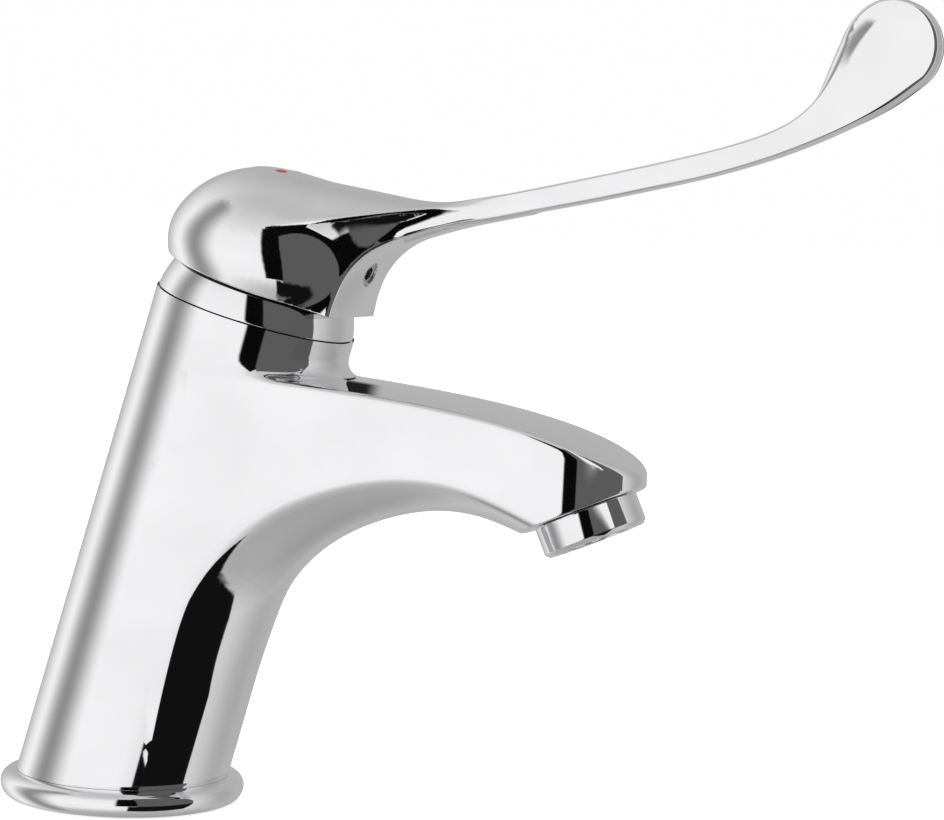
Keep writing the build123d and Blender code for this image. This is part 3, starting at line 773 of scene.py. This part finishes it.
hotMark, coldMark = enamelMark("hot_dot", -1), enamelMark("cold_dot", 1)
print("marks done")


# materials

wiped = {
    "cloudDetail": 4, "wipeDetail": 3,
    "stretch": (1.0, 0.25, 0.12), "turn": (0.3, 0.5, 0.2),   # wipe marks run long, and askew to the axes
    "wipeShare": 0.5, "cloudShare": 0.5,                     # of each in the roughness
    "span": (0.3, 0.7),                                      # the noise that is spread from low to high
    "bumpDepth": 0.0002,
}


def wipedFaceGroup():
    # soft cloudiness and fine wipe marks of a wiped metal or plastic face
    tree, given, made = newGroup("wiped face", "ShaderNodeTree", (
        ("Position", "Vector", None), ("Cloud Scale", "Float", 40.0), ("Wipe Scale", "Float", 500.0),
        ("Rough Low", "Float", 0.03), ("Rough High", "Float", 0.08), ("Tint Low", "Float", 0.75),
        ("Tint High", "Float", 0.85)), (("Roughness", "Float"), ("Tint", "Float"), ("Height", "Float")))
    cloud = added(tree, "ShaderNodeTexNoise", {
        "Vector": given["Position"], "Scale": given["Cloud Scale"],
        "Detail": wiped["cloudDetail"]}).outputs["Fac"]
    stretch = added(tree, "ShaderNodeMapping", {
        "Vector": given["Position"], "Scale": wiped["stretch"], "Rotation": wiped["turn"]})
    wipe = added(tree, "ShaderNodeTexNoise", {
        "Vector": stretch.outputs[0], "Scale": given["Wipe Scale"],
        "Detail": wiped["wipeDetail"]}).outputs["Fac"]
    clouded = worked(tree, "MULTIPLY", cloud, wiped["cloudShare"])
    both = worked(tree, "MULTIPLY_ADD", wipe, wiped["wipeShare"], clouded)
    for value, low, high, target in ((both, "Rough Low", "Rough High", "Roughness"),
                                     (cloud, "Tint Low", "Tint High", "Tint")):
        feed(tree, made[target], ranged(tree, value, (*wiped["span"], given[low], given[high])))
    feed(tree, made["Height"], wipe)
    return tree


wipedFace = wipedFaceGroup()
paintedShade = (0.012, 0.012, 0.013, 1)      # painted shade: near black, for the hood's hollow and the rim's underside


def emptyMaterial(name):
    material = bpy.data.materials.new(name)
    material.use_nodes = True
    return material, material.node_tree, material.node_tree.nodes["Principled BSDF"]


def finish(name, color, metallic, rough, tint, bump=0.0, cloud=45.0, wipe=450.0, coat=0.0, withPaintedShade=False):
    # the wiped face feeds colour, roughness and a slight bump; with painted shade, the hood's hollow and the
    # rim's underside are painted near black
    material, tree, shader = emptyMaterial(name)
    face = tree.nodes.new("ShaderNodeGroup")
    face.node_tree = wipedFace
    place = tree.nodes.new("ShaderNodeTexCoord")
    for label, value in (("Position", place.outputs["Object"]), ("Cloud Scale", cloud), ("Wipe Scale", wipe),
                         ("Rough Low", rough[0]), ("Rough High", rough[1]),
                         ("Tint Low", tint[0]), ("Tint High", tint[1])):
        feed(tree, face.inputs[label], value)
    shade = mixed(tree, "RGBA", face.outputs["Tint"], (0, 0, 0, 1), (*color, 1))
    # painted shade: near black where the attribute marks the hood's hollow and the rim's underside
    if withPaintedShade:
        marked = tree.nodes.new("ShaderNodeAttribute")
        marked.attribute_name = "painted_shade"
        shade = mixed(tree, "RGBA", marked.outputs["Fac"], shade, paintedShade)
    for label, value in (("Base Color", shade), ("Roughness", face.outputs["Roughness"]),
                         ("Metallic", metallic), ("Coat Weight", coat)):
        feed(tree, shader.inputs[label], value)
    if bump:
        relief = added(tree, "ShaderNodeBump", {
            "Strength": bump, "Distance": wiped["bumpDepth"], "Height": face.outputs["Height"]})
        tree.links.new(relief.outputs["Normal"], shader.inputs["Normal"])
    return material


# name, colour, metallic, roughness and tint from and to, bump, scale of the clouds and of the wipes, coat
nodeFinish = {
    # the chrome gets painted shade inside the hood and under its rim
    "chrome": finish("chrome plate", (0.93, 0.93, 0.94), 1.0, (0.025, 0.06), (0.93, 1.0), withPaintedShade=True),
    "rubber": finish("black rubber", (0.04, 0.04, 0.042), 0.0, (0.55, 0.75), (0.7, 1.0), 0.4, 120, 900),
    "white_plastic": finish(
        "white plastic", (0.85, 0.85, 0.83), 0.0, (0.3, 0.42), (0.92, 1.0), 0.15, 90, 700),
    "grey_plastic": finish("grey plastic", (0.42, 0.43, 0.44), 0.0, (0.35, 0.5), (0.85, 1.0), 0.2, 90, 700),
    "red_plastic": finish("red plastic", (0.6, 0.05, 0.04), 0.0, (0.35, 0.5), (0.85, 1.0), 0.2, 90, 700),
    "black_plastic": finish("black plastic", (0.05, 0.05, 0.05), 0.0, (0.35, 0.5), (0.8, 1.0), 0.2, 90, 700),
    "steel": finish("drawn steel", (0.6, 0.6, 0.6), 1.0, (0.2, 0.36), (0.85, 1.0), 0.2, 150, 1800),
    "ceramic": finish("lapped ceramic", (0.88, 0.88, 0.86), 0.0, (0.08, 0.2), (0.95, 1.0), 0.0, 60, 500, 0.4),
    "brass": finish("turned brass", (0.75, 0.56, 0.27), 1.0, (0.2, 0.34), (0.85, 1.0), 0.15, 120, 1500),
    "red_enamel": finish("red enamel", (0.5, 0.015, 0.012), 0.0, (0.3, 0.45), (0.9, 1.0), 0.0, 200, 900),
    "blue_enamel": finish("blue enamel", (0.015, 0.07, 0.45), 0.0, (0.3, 0.45), (0.9, 1.0), 0.0, 200, 900),
}
for row in frame["record"]["subparts"]:
    carried = frame["nodes"][row["node"]]
    carried.data.materials.clear()
    carried.data.materials.append(nodeFinish[row["material_slot"]])

dressed = (
    (bodyShell, "root", "chrome", ("body",)),
    (handleShell, "lever", "chrome", ("handle",)),
    (baseRing, "root", "chrome", ("base_ring",)),
    (collar, "root", "chrome", ("collar",)),
    (aerator, "root", "chrome", ("aerator_housing",)),
    (screens, "root", "steel", ("aerator_screens",)),
    (hotMark, "lever", "red_enamel", ("hot_mark",)),
    (coldMark, "lever", "blue_enamel", ("cold_mark",)),
)
for piece, bodyName, slotName, nodes in dressed:
    piece.data.materials.clear()
    piece.data.materials.append(nodeFinish[slotName])
    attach(piece, bodyName)
    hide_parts(*nodes)
print("materials done")


# camera: the photograph's viewing angle

view = {
    "place": (0.3016, -0.5594, 0.1356), "ahead": (-0.3641, 0.9290, -0.0671), "up": (-0.0698, 0.0447, 0.9965),
    "lens": 105.03, "sensor": 36, "clip": 0.05,
}


def viewCamera():
    camera = bpy.data.objects.new("camera", bpy.data.cameras.new("camera"))
    scene.collection.objects.link(camera)
    ahead = Vector(view["ahead"]).normalized()
    right = ahead.cross(Vector(view["up"])).normalized()
    turned = Matrix((right, right.cross(ahead), -ahead)).transposed().to_4x4()
    camera.matrix_world = Matrix.Translation(view["place"]) @ turned
    camera.data.lens = view["lens"]
    camera.data.sensor_width = view["sensor"]
    camera.data.sensor_fit = "HORIZONTAL"
    camera.data.clip_start = view["clip"]
    return camera


scene.camera = viewCamera()


# studio: white surroundings and floor, soft lamps, and the dark and grey cards that the chrome mirrors

studio = {
    "floor": 0.86, "floorRough": 0.9, "floorGlow": 0.62, "floorSide": 60,
    "sky": 0.55, "white": (1.0, 0.995, 1.0, 1),
    # in a mirror: height of the direction, from straight down at 0 to straight up at 1, and its brightness
    "skySeen": ((0.0, 0.4), (0.08, 0.52), (0.2, 0.93), (0.48, 0.98), (0.78, 0.92), (1.0, 0.55)),
    "rightSeen": 0.72,                 # the right hand side's share of that
    "rightTurn": (0.2, 0.9),
    "backSeen": 0.5,                   # and the share of what is behind
    "backTurn": (0.1, 0.85),
    "aim": (0.07, 0, 0.08),
    "lamps": (
        # place, size, watts
        ((-0.9, -1.0, 1.6), 1.2, 14.0),
        ((1.5, -0.4, 1.4), 1.0, 8.0),
        ((0.2, 1.2, 1.8), 1.4, 8.0),
    ),
    "cards": (
        # middle, facing, width, height, brightness, shares of its width and height that fade out
        ((0.162, -0.213, 0.1725), (0.042, 0, 0.1725), 0.15, 0.455, 0.003, (0.22, 0.04)),
        ((0.268, -0.081, 0.19), (0.028, 0.102, 0.19), 0.304, 0.68, 0.11, (0.06, 0.06)),
        ((0.2543, -0.0957, -0.17), (0.0143, 0.0873, -0.17), 0.344, 0.28, 0.006, (0.06, 0.36)),
        ((0.004, 0.055, 0.127), (0.031, 0, 0.117), 0.066, 0.036, 0.015, (0.15, 0.3)),
        ((-1.1, -0.45, 0.1), (0.0, 0, 0.1), 1.5, 5.0, 0.3, (1.0, 0.3)),
        ((0.216, -0.06, 0.24), (0.251, 0.034, 0.24), 0.21, 0.32, 0.95, (0.12, 0.1)),
    ),
}


def litPlane(name, centre, facing, width, height, material):
    # X of its own runs level, so that a fade goes from side to side
    mesh = bpy.data.meshes.new(name)
    normal = (Vector(facing) - Vector(centre)).normalized()
    level = Vector((0, 0, 1)).cross(normal)
    level = level.normalized() if level.length > 1e-3 else Vector((1, 0, 0))
    upright = normal.cross(level)
    corners = [Vector(centre) + level * a * width / 2 + upright * b * height / 2
               for a, b in ((-1, -1), (1, -1), (1, 1), (-1, 1))]
    mesh.from_pydata(corners, [], [(0, 1, 2, 3)])
    mesh.materials.append(material)
    layer = mesh.uv_layers.new(name="card")
    for corner, uv in zip(layer.data, ((0, 0), (1, 0), (1, 1), (0, 1))):
        corner.uv = uv
    obj = bpy.data.objects.new(name, mesh)
    scene.collection.objects.link(obj)
    return obj


def floorLook():
    # diffuse, and lifted to white for what looks at it straight
    material, tree, shader = emptyMaterial("pale floor")
    grey = studio["floor"]
    path = tree.nodes.new("ShaderNodeLightPath")
    glow = worked(tree, "MULTIPLY", path.outputs["Is Camera Ray"], studio["floorGlow"])
    for label, value in (("Base Color", (grey, grey, grey, 1)), ("Roughness", studio["floorRough"]),
                         ("Specular IOR Level", 0.0), ("Emission Color", (1, 1, 1, 1)),
                         ("Emission Strength", glow)):
        feed(tree, shader.inputs[label], value)
    return material


def cardLook(name, grey, fades):
    # seen from its front only, and clear towards its sides
    material, tree, shader = emptyMaterial(name)
    tree.nodes.remove(shader)
    across = partsOf(tree, tree.nodes.new("ShaderNodeTexCoord").outputs["UV"])
    covers = []               # clear at both ends of an axis, whole from half the fading share inwards
    for axis, fade in zip(("X", "Y"), fades):
        away = worked(tree, "PINGPONG", across[axis], 0.5)
        covers.append(ranged(tree, away, (0.0, fade / 2, 0.0, 1.0), smooth=True))
    side = tree.nodes.new("ShaderNodeNewGeometry")
    front = worked(tree, "SUBTRACT", 1.0, side.outputs["Backfacing"])
    shown = worked(tree, "MULTIPLY", worked(tree, "MULTIPLY", *covers), front)
    clear = tree.nodes.new("ShaderNodeBsdfTransparent")
    glow = added(tree, "ShaderNodeEmission", {"Strength": grey})
    mix = tree.nodes.new("ShaderNodeMixShader")
    for socket, value in zip(mix.inputs, (shown, clear.outputs[0], glow.outputs[0])):
        feed(tree, socket, value)
    tree.links.new(mix.outputs[0], tree.nodes["Material Output"].inputs["Surface"])
    return material


def hangCard(number, centre, facing, width, height, grey, fades):
    look = cardLook("card %d" % number, grey, fades)
    card = litPlane("card_%d" % number, centre, facing, width, height, look)
    card.visible_camera = card.visible_diffuse = card.visible_shadow = False


def hangLamp(number, place, size, watts):
    lamp = bpy.data.objects.new("lamp_%d" % number, bpy.data.lights.new("lamp_%d" % number, "AREA"))
    lamp.data.size = size
    lamp.data.energy = watts
    lamp.location = place
    lamp.rotation_euler = (Vector(studio["aim"]) - Vector(place)).to_track_quat("-Z", "Y").to_euler()
    lamp.visible_glossy = False
    scene.collection.objects.link(lamp)


def surroundings():
    # white to the camera and through glass, toned by direction in a mirror, and plain light to the rest
    world = bpy.data.worlds.new("studio")
    world.use_nodes = True
    tree = world.node_tree
    parts = partsOf(tree, tree.nodes.new("ShaderNodeTexCoord").outputs["Generated"])
    rise = added(tree, "ShaderNodeValToRGB", {"Fac": ranged(tree, parts["Z"], (-1.0, 1.0, 0.0, 1.0))})
    for number, (height, level) in enumerate(studio["skySeen"]):
        stop = rise.color_ramp.elements[number] if number < 2 else rise.color_ramp.elements.new(height)
        stop.position = height
        stop.color = (level, level, level, 1)
    rightHand = ranged(tree, parts["X"], (*studio["rightTurn"], 1.0, studio["rightSeen"]), smooth=True)
    behind = ranged(tree, parts["Y"], (*studio["backTurn"], 1.0, studio["backSeen"]), smooth=True)
    toned = worked(tree, "MULTIPLY", rise.outputs["Color"], worked(tree, "MULTIPLY", rightHand, behind))
    path = tree.nodes.new("ShaderNodeLightPath").outputs
    seen = mixed(tree, "FLOAT", path["Is Glossy Ray"], studio["sky"], toned)
    plain = worked(tree, "MAXIMUM", path["Is Camera Ray"], path["Is Transmission Ray"])
    background = tree.nodes["Background"]
    feed(tree, background.inputs["Color"], studio["white"])
    feed(tree, background.inputs["Strength"], mixed(tree, "FLOAT", plain, seen, 1.0))
    return world


floor = litPlane("floor", (0, 0, 0), (0, 0, 1), studio["floorSide"], studio["floorSide"], floorLook())
floor.visible_glossy = False
for number, card in enumerate(studio["cards"]):
    hangCard(number, *card)
for number, lamp in enumerate(studio["lamps"]):
    hangLamp(number, *lamp)
scene.world = surroundings()
scene.view_settings.view_transform = "Standard"
print("studio done")
